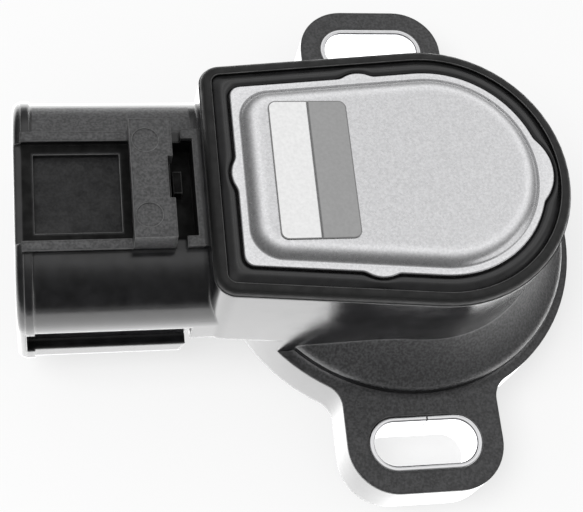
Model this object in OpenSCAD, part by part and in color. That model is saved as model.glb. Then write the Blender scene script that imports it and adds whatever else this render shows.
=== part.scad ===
/* [Flange and ears] */
// Radius of the round mounting flange
flange_r = 22.5; // [22:0.1:24]
// Thickness of the flange and of its two ears
flange_h = 6.6; // [6:0.1:7]
// Width of an ear
ear_w = 19.2; // [18:0.1:22]
// Distance from the shaft axis to the end of an ear
ear_reach = 33.1; // [32.7:0.1:35]
// Radius of the two outer corners of an ear
ear_corner_r = 6; // [4:0.5:7]
// Radius of the hollow corner where an ear leaves the flange
ear_neck_r = 3; // [2:0.5:5]
// Distance from the middle of a mounting slot to the end of its ear
slot_end = 6; // [5.6:0.1:6.4]
// Length of the slot inside its steel bush
slot_l = 12.6; // [10:0.2:13]
// Width of the slot inside its steel bush, for an M5 screw
slot_w = 5.3; // [5:0.1:5.6]
// Sheet thickness of the rolled steel bush
bush_t = 0.7; // [0.5:0.1:1]
// Height by which a slot bush stands above the ear
bush_proud = 0.1; // [0:0.05:0.3]
// Width of the seam in a slot bush
bush_seam = 0.15; // [0.1:0.05:0.4]

/* [Round base] */
// Radius of the drum that stands on the flange
drum_r = 21.2; // [20.5:0.1:21.8]
// Height of the drum wall, up to the foot of the shoulder
drum_h = 8; // [7.6:0.1:8.6]
// Height of the shoulder between the drum and the tower
shoulder_h = 4.6; // [4:0.1:5.5]
// Radius at the outer edge of the shoulder
shoulder_edge_r = 1.2; // [0.6:0.1:1.4]
// Hollow of the shoulder, from a straight slope to a full sweep
shoulder_sag = 0.45; // [0:0.05:0.7]
// Radius of the hollow corner between the flange and the drum
drum_fillet_r = 0.8; // [0.4:0.1:1]

/* [Tower] */
// Radius of the round end of the tower
tower_r = 16.3; // [16:0.1:17]
// Offset of the round end from the shaft axis
tower_x = 0.5; // [0:0.1:1]
// Angle by which each long side closes towards the connector
side_flare = 4.8; // [3:0.1:6]
// Distance from the shaft axis to the flat end of the tower
end_reach = 26.1; // [25:0.1:27]
// Radius of the two corners at the flat end
tower_corner_r = 2.5; // [1.8:0.1:3.5]
// Height of the rim above the mounting face
rim_z = 24.2; // [24:0.1:25.6]
// Height of the underside of the tower, where it overhangs the flange
tower_foot_z = 10; // [9.6:0.1:10.8]
// Width of the rim
rim_wall = 1.4; // [1.2:0.1:1.6]
// Radius of the rim's outer edge
rim_edge_r = 0.8; // [0.4:0.1:1]
// Width of the sealing groove between the rim and the cover
groove_w = 1.9; // [1.6:0.1:2.2]
// Width of the ledge that carries the edge of the cover
ledge_w = 1.2; // [1:0.1:1.5]

/* [Cover and label] */
// Sheet thickness of the pressed cover
cover_t = 0.8; // [0.5:0.1:1]
// Height of the cover's lip above the rim
cover_lift = 0.2; // [0:0.1:0.4]
// Corner radius of the cover
cover_corner_r = 1.2; // [0.8:0.1:2]
// Width of the flat lip round the raised field
lip_w = 1.3; // [1:0.1:1.6]
// Height of the raised field above the lip
field_rise = 1; // [0.8:0.1:1.4]
// Width of the rounded edge of the raised field
field_edge_w = 2.3; // [1.6:0.1:2.8]
// Corner radius of the raised field
field_corner_r = 3.4; // [2.8:0.1:4.5]
// Distance by which a locating bump stands out of the cover's edge
bump_out = 0.6; // [0.4:0.1:0.9]
// Radius of a locating bump
bump_r = 3.3; // [2.5:0.1:4]
// Distance by which the wide bump at the round end stands out
end_bump_out = 1.1; // [0.6:0.1:1.2]
// Radius of that bump
end_bump_r = 5.5; // [4:0.1:7]
// Distance from the flat end of the tower to the upper and lower bumps
bump_inset = 18.7; // [14:0.1:22]
// Thickness of the sealant above the ledge
sealant_h = 0.75; // [0.5:0.05:1]
// Gap between the sealant and the edges beside it
sealant_gap = 0.15; // [0.05:0.05:0.3]
// Width of the label, along the connector's axis
label_w = 9.1; // [8:0.1:10]
// Height of the label
label_l = 17.2; // [14:0.1:18]
// Corner radius of the label
label_corner_r = 0.9; // [0.5:0.1:1.5]
// Distance from the flat end of the tower to the label
label_inset = 7.4; // [6.8:0.1:9]
// Thickness of the label
label_t = 0.1; // [0.05:0.05:0.2]

/* [Connector] */
// Distance from the shaft axis to the mouth of the connector
conn_reach = 47.2; // [46:0.1:50]
// Half of the width of the connector shell
conn_half = 14; // [13.6:0.1:14.6]
// Height of the top of the shell above the mounting face
conn_top = 20.4; // [20:0.1:20.8]
// Height of the bottom of the shell above the mounting face
conn_foot = 4.9; // [4.4:0.1:5.4]
// Radius of the two upper shoulders of the shell
conn_shoulder_r = 6.5; // [5.5:0.1:7]
// Radius of the two lower corners of the shell
conn_corner_r = 1.2; // [0.8:0.1:2]
// Thickness of the shell
conn_wall = 1.5; // [1.3:0.1:1.8]
// Depth of the socket
socket_depth = 16.4; // [14:0.2:17]
// Depth of the guide groove in each side of the shell
guide_d = 1.2; // [0.8:0.1:1.6]
// Height of the guide groove
guide_h = 5; // [4:0.1:5.4]
// Thickness of the lip below the guide groove
guide_lip = 3.3; // [2.6:0.1:3.6]
// Distance from the mouth to the start of the guide groove
guide_inset = 1; // [0.8:0.1:2]
// Distance from the tower's flat end to the foot of the shell
conn_gap = 2.6; // [2.4:0.1:4]
// Length of the slope at the foot of the shell, towards the tower
foot_chamfer = 1; // [0.5:0.1:2]
// Radius of the rounded outer edge at the mouth
mouth_edge_r = 0.9; // [0.5:0.1:1.1]
// Length of the raised collar at the mouth
collar_l = 1.9; // [1.6:0.1:2.5]
// Height of that collar above the shell
collar_out = 0.25; // [0.15:0.05:0.4]

/* [Latch] */
// Distance between the outer faces of the two latch ribs
latch_w = 14.6; // [13.5:0.1:15]
// Thickness of a latch rib
rib_t = 1.2; // [0.8:0.1:1.4]
// Height of a rib above the shell
rib_h = 0.7; // [0.6:0.1:1.2]
// Distance from the mouth to the start of the ribs
rib_inset = 0.8; // [0.6:0.1:2.5]
// Height of the top of the latch bridge
bridge_z = 24; // [23.8:0.1:24.6]
// Thickness of the bridge
bridge_t = 1.9; // [1.6:0.1:2.2]
// Width of the bridge along the connector's axis
bridge_l = 4.7; // [4:0.1:5.4]
// Distance from the flat end of the tower to the bridge
bridge_gap = 3.6; // [3.4:0.1:4.5]
// Height of the low wall along the tower, behind the bridge
cheek_h = 1.4; // [1:0.1:2]
// Thickness of that wall
cheek_t = 1; // [0.8:0.1:1.4]
// Length of its two arms, towards the bridge
arm_l = 1.3; // [0.8:0.1:2]
// Width of the sunk panel between the ribs
panel_w = 9.7; // [8:0.1:11]
// Length of the sunk panel
panel_l = 9.6; // [8:0.1:9.8]
// Depth of the sunk panel
panel_d = 0.8; // [0.5:0.1:0.9]
// Radius of an ejector mark on the bridge
pin_mark_r = 1.45; // [1:0.05:1.8]
// Depth of an ejector mark
pin_mark_d = 0.15; // [0.1:0.05:0.3]

/* [Terminals] */
// Distance between neighbouring terminals
pin_pitch = 5; // [4.6:0.1:5.2]
// Width of a terminal blade
blade_w = 2.3; // [1.8:0.1:2.6]
// Thickness of a terminal blade
blade_t = 0.6; // [0.5:0.1:0.8]
// Height of the middle of the blades above the mounting face
blade_z = 12.2; // [11.9:0.1:12.5]
// Distance from the mouth to the tips of the blades
blade_inset = 5.4; // [4.6:0.1:7]
// Width of the upright leg that reaches the board
leg_w = 1.2; // [1:0.1:1.4]
// Distance from the flat end of the tower to the legs
leg_inset = 6.9; // [6.8:0.1:8]

/* [Board] */
// Thickness of the ceramic resistor board
board_t = 1.2; // [0.8:0.1:1.4]
// Height of the underside of the board above the mounting face
board_z = 17; // [16.8:0.1:17.4]
// Width of the step that carries the board
board_step = 1.2; // [1:0.1:1.4]
// Clearance round the board
board_gap = 0.15; // [0.1:0.05:0.3]
// Radius of the round hole in the middle of the board
board_hole_r = 3.2; // [2.8:0.1:3.6]
// Thickness of the resistor tracks
track_t = 0.08; // [0.05:0.01:0.1]
// Width of a resistor track
track_w = 1.2; // [1:0.1:1.4]
// Middle radius of the outer track
track_outer_r = 8.8; // [8.5:0.1:9]
// Middle radius of the inner track
track_inner_r = 6.4; // [6:0.1:6.6]

/* [Rotor and bearing] */
// Radius of the rotor shaft
shaft_r = 5; // [4.8:0.1:5.1]
// Running clearance of the shaft in its bush
shaft_gap = 0.05; // [0.03:0.01:0.08]
// Radius of the rotor disc
disc_r = 10.2; // [10:0.1:10.3]
// Thickness of the rotor disc
disc_t = 2; // [1.6:0.1:2.2]
// Turning range of the rotor, in degrees
turn_range = 100; // [80:5:110]
// Wall of the rotor bush
bearing_wall = 1.1; // [0.9:0.1:1.2]
// Radius of the flange of the rotor bush
bearing_flange_r = 7.4; // [7:0.1:7.6]
// Thickness of the flange of the rotor bush
bearing_flange_t = 0.6; // [0.5:0.1:0.8]
// Radius of the drive insert
insert_r = 3.9; // [3.7:0.1:4]
// Length of the drive slot
drive_l = 6.6; // [6:0.1:6.8]
// Width of the drive slot
drive_w = 2.4; // [2:0.1:3]
// Depth of the drive slot
drive_depth = 6; // [5:0.2:6.6]
// Wire radius of the return spring
wire_r = 0.45; // [0.35:0.05:0.5]
// Middle radius of the return spring
coil_r = 9.2; // [9.1:0.05:9.4]
// Number of turns of the return spring
coil_turns = 3.25; // [2.25:1:3.25]

/* [Mounting face] */
// Radius of the recess that centres the sensor on its shaft boss
pilot_r = 11; // [10.5:0.1:11.4]
// Depth of that recess
pilot_depth = 3.2; // [3:0.1:3.4]
// Thickness of the floor between the recess and the rotor well
floor_t = 2.6; // [2.4:0.1:2.8]
// Middle radius of the face seal
seal_r = 13.6; // [13.4:0.1:14]
// Thickness of the face seal
seal_d = 1.8; // [1.6:0.1:2]
// Height by which the face seal stands out of its groove
seal_proud = 0.2; // [0.1:0.05:0.3]
// Number of hollows moulded into the underside of the flange
core_count = 8; // [6:1:10]
// Depth of those hollows
core_depth = 4.2; // [3:0.1:4.6]

/* [Hidden] */
$fn = 96;

cut = 1;
press_gap = 0.02;
blend_lap = 0.002;
shoulder_steps = 8;

end_x = -end_reach;
mouth_x = -conn_reach;
side_angle = 90 + side_flare;
side_nx = cos(side_angle);
side_ny = sin(side_angle);

cover_inset = rim_wall + groove_w;
cavity_inset = cover_inset + ledge_w;
seat_inset = cavity_inset + board_step;
lip_z = rim_z + cover_lift;
ledge_z = lip_z - cover_t;
field_z = lip_z + field_rise;
flat_min = 0.1;
inner_corner_r = 1;
bump_x = end_x + bump_inset;

ear_half = ear_w / 2;
slot_pitch_r = ear_reach - slot_end;
neck_x = ear_half + ear_neck_r;
neck_y = sqrt(pow(flange_r + ear_neck_r, 2) - neck_x * neck_x);
bush_half_l = slot_l / 2 + bush_t;
bush_half_w = slot_w / 2 + bush_t;
slot_seam_x = 0.4;

groove_sunk = 0.3;
groove_z = conn_top - groove_sunk;
panel_z = groove_z - panel_d;
socket_top = panel_z - conn_wall;
socket_foot = conn_foot + conn_wall;
socket_half = conn_half - guide_d - conn_wall;
socket_corner_r = 4;
edge_lap = 0.4;
edge_step = 0.1;
lip_step = 0.1;
socket_end_x = mouth_x + socket_depth;
shell_end_x = end_x - conn_gap;
guide_z = conn_foot + guide_lip;
rib_outer = latch_w / 2;
rib_x = mouth_x + rib_inset;
rib_top = conn_top + rib_h;
bridge_x1 = end_x - bridge_gap;
bridge_x0 = bridge_x1 - bridge_l;
panel_gap = 1;
panel_x0 = bridge_x0 - panel_gap - panel_l;
notch_w = 5.2;
notch_d = 0.6;
pocket_d = 2;
lug_gap = 0.3;
lug_l = 1;
lug_w = 2.7;
lug_sunk = 0.4;
mark_y = 4.6;
mark_inset = 1.75;
mark_x = bridge_x0 + mark_inset;

blade_x = mouth_x + blade_inset;
leg_x = end_x + leg_inset;
board_top = board_z + board_t;
leg_stub = 0.7;
leg_top = board_top + leg_stub;
blade_cover = 1.5;
cavity_floor_z = blade_z + blade_t / 2 + blade_cover;
leg_hole_gap = 0.2;
solder_r = 1.1;

floor_z = pilot_depth + floor_t;
well_gap = 0.6;
well_r = disc_r + well_gap;
boss_h = 2.6;
boss_top = floor_z + boss_h;
boss_edge = 0.5;
boss_r = bearing_flange_r + boss_edge;
bearing_r = shaft_r + shaft_gap + bearing_wall;
seal_step = 0.7;
seal_seat_r = bearing_r + seal_step;
shaft_inset = 0.1;
shaft_foot = pilot_depth + shaft_inset;
ring_inset = 0.4;
ring_z = shaft_foot + ring_inset;
ring_t = 0.5;
ring_out = 0.9;
ring_groove_d = 0.6;
ring_gap_w = 4.4;
washer_z = ring_z + ring_t + shaft_gap;
washer_t = 0.4;
washer_inset = 0.2;
shaft_seal_z = washer_z + washer_t + shaft_gap;
shaft_seal_h = 1;
bearing_z = shaft_seal_z + shaft_seal_h + press_gap;
hub_z = boss_top + bearing_flange_t + shaft_gap;
hub_inset = 0.2;
hub_r = boss_r - hub_inset;
hub_h = 1.4;
disc_z = hub_z + hub_h;
disc_top = disc_z + disc_t;
rivet_r = 2.4;
rivet_h = 2;
carrier_t = 0.6;
carrier_ring = 1.6;
carrier_r = rivet_r + carrier_ring;
carrier_half = 2.4;
carrier_tip = 0.9;
carrier_z = disc_top;
finger_t = 0.15;
finger_back = 2;
finger_run = 2.8;
contact_l = 0.7;
finger_z = carrier_z + carrier_t;
finger_top = board_z - track_t - shaft_gap;
rest_angle = -turn_range / 2;
track_overrun = 9;
insert_cap = 1;
insert_top = shaft_foot + drive_depth + insert_cap;
coil_foot_gap = 0.05;
coil_top_gap = 0.2;
coil_z = floor_z + wire_r + coil_foot_gap;
coil_rise = disc_z - wire_r - coil_top_gap - coil_z;
tang_gap = 0.15;
tang_r = wire_r + tang_gap;
tang_l = 1.8;
tang_hole_d = 1.6;
tang_share = 0.004;
coil_steps = 22;
coil_sides = 8;

seal_room = 0.6;
seal_groove_w = seal_d + seal_room;
core_wall_in = 1.2;
core_wall_out = 1.6;
core_in_r = seal_r + seal_groove_w / 2 + core_wall_in;
core_out_r = drum_r - core_wall_out;
core_rib = 1.4;

// Place where the inset long side meets the round end, a hair inside the circle
function side_foot(inset) = let(r = tower_r - inset - blend_lap) [tower_x + r * side_nx, r * side_ny];
// Centre of a corner circle that touches the inset side and the inset end
function corner_at(inset, r) = let(x = end_x + inset + r)
    [x, (tower_r - inset - r - side_nx * (x - tower_x)) / side_ny];
// Half of the width of the inset outline at a place along its length
function half_at(inset, x) = (tower_r - inset - side_nx * (x - tower_x)) / side_ny;

// Outline of the tower set in all round: a round end, two flared sides and a flat end
module tower_outline(inset, corner_r) {
    foot = side_foot(inset);
    corner = corner_at(inset, corner_r);
    side = corner + (corner_r - blend_lap) * [side_nx, side_ny];
    translate([tower_x, 0]) circle(r = tower_r - inset);
    for (s = [1, -1]) translate([corner.x, s * corner.y]) circle(r = corner_r);
    polygon([foot, side, [corner.x - corner_r, corner.y], [corner.x - corner_r, -corner.y],
        [side.x, -side.y], [foot.x, -foot.y]]);
}

// Outline of the cover: the tower's outline set in, with four locating bumps
module cover_outline(gap = 0) {
    tower_outline(cover_inset - gap, cover_corner_r + gap);
    bump_y = half_at(cover_inset, bump_x) + bump_out - bump_r;
    for (s = [1, -1]) translate([bump_x, s * bump_y]) circle(r = bump_r + gap);
    translate([end_x + cover_inset - bump_out + bump_r, 0]) circle(r = bump_r + gap);
    translate([tower_x + tower_r - cover_inset + end_bump_out - end_bump_r, 0])
        circle(r = end_bump_r + gap);
}

// Rounded rectangle about the origin
module rounded_rect(w, l, r) {
    square([w - 2 * r, l], center = true);
    square([w, l - 2 * r], center = true);
    for (sx = [1, -1], sy = [1, -1]) translate([sx * (w / 2 - r), sy * (l / 2 - r)]) circle(r = r);
}

// Slot outline with round ends, along X
module slot_outline(half_l, half_w) {
    square([2 * (half_l - half_w), 2 * half_w], center = true);
    for (s = [1, -1]) translate([s * (half_l - half_w), 0]) circle(r = half_w);
}

// Extrudes a section drawn in the Y Z plane from one X to another
module along_x(x0, x1) {
    translate([x0, 0, 0]) rotate([90, 0, 90]) linear_extrude(x1 - x0) children();
}

// Outline of the flange: the round plate, the bar of the two ears and four hollow corners
module flange_outline() {
    circle(r = flange_r);
    rounded_rect(ear_w, 2 * ear_reach, ear_corner_r);
    for (sx = [1, -1], sy = [1, -1]) scale([sx, sy]) neck_corner();
}

// Fills the hollow corner between an ear and the round flange
module neck_corner() {
    touch = flange_r / (flange_r + ear_neck_r);
    difference() {
        polygon([[ear_half - cut, neck_y], [ear_half, neck_y], [neck_x, neck_y],
            [neck_x * touch, neck_y * touch], [ear_half - cut, neck_y * touch - cut]]);
        translate([neck_x, neck_y]) circle(r = ear_neck_r);
    }
}

// Half section of the drum and its shoulder, turned about the shaft axis
module drum_section() {
    edge_end = 56;
    edge_x = drum_r - shoulder_edge_r;
    start = [edge_x + shoulder_edge_r * cos(edge_end), drum_h + shoulder_edge_r * sin(edge_end)];
    top = [tower_r, drum_h + shoulder_h];
    fillet = [drum_r + drum_fillet_r, flange_h + drum_fillet_r];
    polygon(concat(
        [[0, 0], [fillet.x, 0]],
        [for (a = [270:-15:180]) fillet + drum_fillet_r * [cos(a), sin(a)]],
        [for (a = [0:8:edge_end]) [edge_x + shoulder_edge_r * cos(a), drum_h + shoulder_edge_r * sin(a)]],
        [for (i = [1:shoulder_steps]) let(t = i / shoulder_steps)
            [start.x + (top.x - start.x) * t, start.y + (top.y - start.y) * (shoulder_sag * t * t
                + (1 - shoulder_sag) * t)]],
        [[0, top.y]]));
}

// The moulded housing: flange, drum, tower, connector and latch, less all that is hollow
module housing() color("#1f2124") difference() {
    union() {
        linear_extrude(flange_h) flange_outline();
        rotate_extrude() drum_section();
        linear_extrude(tower_foot_z + cut) intersection() {
            circle(r = flange_r);
            tower_outline(0, tower_corner_r);
        }
        translate([0, 0, tower_foot_z]) linear_extrude(rim_z - rim_edge_r - tower_foot_z)
            tower_outline(0, tower_corner_r);
        rim_top();
        connector_shell();
        latch();
    }
    cover_seat();
    rotor_well();
    mounting_face();
    for (s = [1, -1]) translate([0, s * slot_pitch_r, -cut]) linear_extrude(flange_h + 2 * cut)
        slot_outline(bush_half_l + press_gap, bush_half_w + press_gap);
    socket();
    for (i = [0:3]) terminal(i, press_gap);
}

// Section of the connector shell in the Y Z plane: wide shoulders above, small corners below
module shell_section(half, foot, top, shoulder_r, corner_r) {
    for (s = [1, -1]) {
        translate([s * (half - shoulder_r), top - shoulder_r]) circle(r = shoulder_r);
        translate([s * (half - corner_r), foot + corner_r]) circle(r = corner_r);
    }
    translate([shoulder_r - half, foot]) square([2 * (half - shoulder_r), top - foot]);
    translate([-half, foot + corner_r]) square([2 * half, top - shoulder_r - foot - corner_r]);
    translate([corner_r - half, foot]) square([2 * (half - corner_r), corner_r * 2]);
}

// Disc along X with a rounded outer edge, which shapes one corner of the mouth
module mouth_disc(r, y, z) {
    translate([mouth_x, y, z]) rotate([90, 0, 90]) rotate_extrude($fn = 64) polygon(concat([[0, 0]],
        [for (a = [90:-15:0]) [r - mouth_edge_r * (1 - cos(a)), mouth_edge_r * (1 - sin(a))]],
        [[r, mouth_edge_r + edge_lap], [0, mouth_edge_r + edge_lap]]));
}

// The outside of the connector, with its guide grooves and its sloped foot
module connector_shell() {
    difference() {
        union() {
            hull() for (s = [1, -1]) {
                mouth_disc(conn_shoulder_r + collar_out - edge_step, s * (conn_half - conn_shoulder_r),
                    conn_top - conn_shoulder_r);
                mouth_disc(conn_corner_r + collar_out - edge_step, s * (conn_half - conn_corner_r),
                    conn_foot + conn_corner_r);
            }
            along_x(mouth_x + mouth_edge_r, mouth_x + collar_l)
                shell_section(conn_half + collar_out, conn_foot - collar_out, conn_top + collar_out,
                    conn_shoulder_r + collar_out, conn_corner_r + collar_out);
            along_x(mouth_x + mouth_edge_r, end_x + rim_wall)
                shell_section(conn_half, conn_foot, conn_top, conn_shoulder_r, conn_corner_r);
        }
        for (s = [1, -1]) translate([mouth_x + guide_inset, s * conn_half - guide_d, guide_z])
            cube([shell_end_x - mouth_x, 2 * guide_d, guide_h]);
        translate([0, conn_half + cut, 0]) rotate([90, 0, 0]) linear_extrude(2 * (conn_half + cut))
            polygon([[shell_end_x, conn_foot - cut], [shell_end_x, conn_foot],
                [shell_end_x + foot_chamfer, tower_foot_z], [0, tower_foot_z], [0, conn_foot - cut]]);
    }
}

// The ribs that guide the plug's latch, and the bridge that holds it
module latch() {
    for (s = [1, -1]) {
        y0 = s > 0 ? rib_outer - rib_t : -rib_outer;
        translate([rib_x, y0, groove_z - cut])
            cube([bridge_x0 - rib_x + cut, rib_t, rib_top - groove_z + cut]);
        translate([bridge_x0, y0, groove_z - cut]) cube([bridge_l, rib_t, bridge_z - groove_z + cut]);
        translate([end_x - cheek_t - arm_l, y0, groove_z - cut])
            cube([cheek_t + arm_l + cut, rib_t, cheek_h + cut]);
    }
    translate([end_x - cheek_t, -rib_outer, groove_z - cut])
        cube([cheek_t + cut, latch_w, cheek_h + cut]);
    translate([bridge_x0, 0, bridge_z - bridge_t]) difference() {
        translate([0, -rib_outer, 0]) cube([bridge_l, latch_w, bridge_t]);
        translate([bridge_l - notch_d, -notch_w / 2, -cut])
            cube([notch_d + cut, notch_w, bridge_t + 2 * cut]);
        for (s = [1, -1]) translate([mark_x - bridge_x0, s * mark_y, bridge_t - pin_mark_d])
            cylinder(r = pin_mark_r, h = cut);
    }
}

// What is taken out of the tower from above: the cover's seat and the board's chamber
module cover_seat() {
    translate([0, 0, ledge_z]) linear_extrude(rim_z - ledge_z + cut)
        tower_outline(rim_wall, tower_corner_r - rim_wall);
    translate([0, 0, board_z]) linear_extrude(ledge_z - board_z + cut)
        tower_outline(cavity_inset, inner_corner_r);
    translate([0, 0, cavity_floor_z]) linear_extrude(board_z - cavity_floor_z + cut)
        tower_outline(seat_inset, inner_corner_r);
}

// The well of the rotor, with the boss that holds its bush, and the hole for the spring's end
module rotor_well() {
    difference() {
        translate([0, 0, floor_z]) cylinder(r = well_r, h = board_z - floor_z);
        translate([0, 0, floor_z - cut]) cylinder(r = boss_r, h = boss_top - floor_z + cut);
    }
    cylinder(r = bearing_r + press_gap, h = board_z);
    cylinder(r = seal_seat_r + press_gap, h = bearing_z - press_gap / 2);
    rotate([0, 0, coil_angle(tang_share)]) translate([coil_r, 0, floor_z - tang_hole_d])
        cylinder(r = tang_r, h = tang_hole_d + cut);
}

// The recess that centres the sensor, the groove of the face seal and the moulded hollows
module mounting_face() {
    translate([0, 0, -cut]) cylinder(r = pilot_r, h = pilot_depth + cut);
    translate([0, 0, -cut]) linear_extrude(cut + seal_d - seal_proud) difference() {
        circle(r = seal_r + seal_groove_w / 2);
        circle(r = seal_r - seal_groove_w / 2);
    }
    translate([0, 0, -cut]) linear_extrude(cut + core_depth) difference() {
        circle(r = core_out_r);
        circle(r = core_in_r);
        for (i = [0:core_count - 1]) rotate(i * 360 / core_count)
            translate([0, -core_rib / 2]) square([flange_r, core_rib]);
    }
}

// The socket, the sunk panel, the latch channel and the pocket with its lug behind the bridge
module socket() {
    along_x(mouth_x - cut, socket_end_x)
        shell_section(socket_half, socket_foot, socket_top, socket_corner_r, conn_corner_r);
    translate([panel_x0, -panel_w / 2, panel_z]) cube([panel_l, panel_w, panel_d + cut]);
    translate([mouth_x - cut, rib_t - rib_outer, groove_z])
        cube([end_x - cheek_t - mouth_x + cut, latch_w - 2 * rib_t, bridge_z - bridge_t - groove_z]);
    translate([bridge_x1, rib_t - rib_outer, groove_z - pocket_d]) difference() {
        cube([bridge_gap - cheek_t, latch_w - 2 * rib_t, pocket_d + cut]);
        translate([lug_gap, rib_outer - rib_t, -cut]) cube([lug_l, lug_w, pocket_d - lug_sunk + cut]);
    }
}

// Steel bush rolled from strip, in a mounting slot, with its seam towards the shaft
module slot_bush(y) {
    translate([0, y, 0]) linear_extrude(flange_h + bush_proud) difference() {
        slot_outline(bush_half_l, bush_half_w);
        slot_outline(slot_l / 2, slot_w / 2);
        translate([slot_seam_x, y > 0 ? -bush_half_w - cut : 0]) square([bush_seam, bush_half_w + cut]);
    }
}
module slot_bush_lower() color("#a9abae") slot_bush(-slot_pitch_r);
module slot_bush_upper() color("#a9abae") slot_bush(slot_pitch_r);

// Disc with a soft upper edge, which shapes one corner of the rim or of the cover's raised field
module edge_disc(r, base, top, edge_w, edge_h) {
    w = min(edge_w, r - flat_min);
    translate([0, 0, base]) rotate_extrude($fn = 64) polygon(concat([[0, 0], [r, 0]],
        [for (a = [0:18:90]) [r - w * (1 - cos(a)), top - base - edge_h * (1 - sin(a))]],
        [[0, top - base]]));
}

// Top of the tower, with the rounded outer edge of the rim
module rim_top() {
    corner = corner_at(0, tower_corner_r);
    base = rim_z - rim_edge_r - edge_lap;
    hull() {
        translate([tower_x, 0, 0])
            edge_disc(tower_r - edge_step, base, rim_z, rim_edge_r, rim_edge_r - edge_step);
        for (s = [1, -1]) translate([corner.x, s * corner.y, 0])
            edge_disc(tower_corner_r - edge_step, base, rim_z, rim_edge_r, rim_edge_r - edge_step);
    }
}

// The raised field as a solid between two heights, set in from the tower's outline
module field_solid(inset, base, top) {
    corner_r = field_corner_r + cover_inset + lip_w - inset;
    corner = corner_at(inset, corner_r);
    edge_h = field_rise - lip_step;
    hull() {
        translate([tower_x, 0, 0]) edge_disc(tower_r - inset, base, top, field_edge_w, edge_h);
        for (s = [1, -1]) translate([corner.x, s * corner.y, 0])
            edge_disc(corner_r, base, top, field_edge_w, edge_h);
    }
}

// Pressed sheet cover: a flat lip and a raised field, hollow underneath
module cover() color("#c9cacb") difference() {
    union() {
        translate([0, 0, ledge_z]) linear_extrude(cover_t) cover_outline();
        field_solid(cover_inset + lip_w, ledge_z + cover_t / 2, field_z);
    }
    field_solid(cover_inset + lip_w + cover_t, ledge_z - cut, field_z - cover_t);
}

// Ring of sealant between the rim and the cover
module cover_sealant() color("#4a4c50") translate([0, 0, ledge_z]) linear_extrude(sealant_h)
    difference() {
        tower_outline(rim_wall + sealant_gap, tower_corner_r - rim_wall - sealant_gap);
        cover_outline(sealant_gap);
    }

// Plain label on the raised field
module label() color("#dcdcdc") translate([end_x + label_inset + label_w / 2, 0, field_z])
    linear_extrude(label_t) rounded_rect(label_w, label_l, label_corner_r);

// One terminal: a blade along the socket and an upright leg to the board
module terminal(i, gap = 0) {
    y = (i - 1.5) * pin_pitch;
    z0 = blade_z - blade_t / 2;
    translate([blade_x - gap, y - blade_w / 2 - gap, z0 - gap])
        cube([leg_x + blade_t / 2 - blade_x + 2 * gap, blade_w + 2 * gap, blade_t + 2 * gap]);
    translate([leg_x - blade_t / 2 - gap, y - leg_w / 2 - gap, z0])
        cube([blade_t + 2 * gap, leg_w + 2 * gap, leg_top - z0]);
}
module terminal_1() color("#b9b7a8") terminal(0);
module terminal_2() color("#b9b7a8") terminal(1);
module terminal_3() color("#b9b7a8") terminal(2);
module terminal_4() color("#b9b7a8") terminal(3);

// Ceramic board that carries the resistor tracks
module resistor_board() color("#e6e2d6") translate([0, 0, board_z]) linear_extrude(board_t)
    difference() {
        tower_outline(cavity_inset + board_gap, inner_corner_r);
        circle(r = board_hole_r);
        for (i = [0:3]) translate([leg_x, (i - 1.5) * pin_pitch]) circle(r = leg_w / 2 + leg_hole_gap);
    }

// One resistor track: a flat arc under the board
module track(r) {
    sweep = turn_range + 2 * track_overrun;
    rotate([0, 0, -sweep / 2]) translate([0, 0, board_z - track_t]) rotate_extrude(angle = sweep)
        translate([r - track_w / 2, 0]) square([track_w, track_t]);
}

module resistor_tracks() color("#2b2b2d") {
    track(track_outer_r);
    track(track_inner_r);
}

// Cone of solder round the end of each leg
module solder_joints() color("#b4b6b8") for (i = [0:3])
    translate([leg_x, (i - 1.5) * pin_pitch, board_top]) difference() {
        cylinder(r1 = solder_r, r2 = (leg_w + leg_hole_gap) / 2, h = leg_top - board_top);
        translate([-blade_t / 2 - press_gap, -leg_w / 2 - press_gap, -cut])
            cube([blade_t + 2 * press_gap, leg_w + 2 * press_gap, 2 * cut + leg_top - board_top]);
    }

// Moulded rotor: shaft, hub, disc and the rivet that holds the wipers
module rotor() color("#3a3633") difference() {
    union() {
        translate([0, 0, shaft_foot]) cylinder(r = shaft_r, h = hub_z - shaft_foot);
        translate([0, 0, hub_z]) cylinder(r = hub_r, h = hub_h);
        translate([0, 0, disc_z]) cylinder(r = disc_r, h = disc_t);
        translate([0, 0, disc_top]) cylinder(r = rivet_r, h = rivet_h);
    }
    translate([0, 0, shaft_foot - cut])
        cylinder(r = insert_r + press_gap, h = cut + insert_top - shaft_foot);
    translate([0, 0, ring_z - press_gap]) linear_extrude(ring_t + 2 * press_gap) difference() {
        circle(r = shaft_r + cut);
        circle(r = shaft_r - ring_groove_d);
    }
    rotate([0, 0, coil_angle(1 - tang_share)]) translate([coil_r, 0, disc_z - cut])
        cylinder(r = tang_r, h = disc_t + 2 * cut);
}

// Metal insert in the shaft, with the slot for the throttle's drive blade
module drive_insert() color("#b0a27c") translate([0, 0, shaft_foot]) difference() {
    cylinder(r = insert_r, h = insert_top - shaft_foot);
    translate([-drive_l / 2, -drive_w / 2, -cut]) cube([drive_l, drive_w, drive_depth + cut]);
}

// Sheet metal sector that carries the wipers, riveted on the rotor
module wiper_carrier() color("#c2b280") rotate([0, 0, rest_angle]) translate([0, 0, carrier_z])
    difference() {
        union() {
            cylinder(r = carrier_r, h = carrier_t);
            translate([0, -carrier_half, 0])
                cube([track_outer_r + carrier_tip, 2 * carrier_half, carrier_t]);
        }
        translate([0, 0, -cut]) cylinder(r = rivet_r + press_gap, h = carrier_t + 2 * cut);
    }

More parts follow.
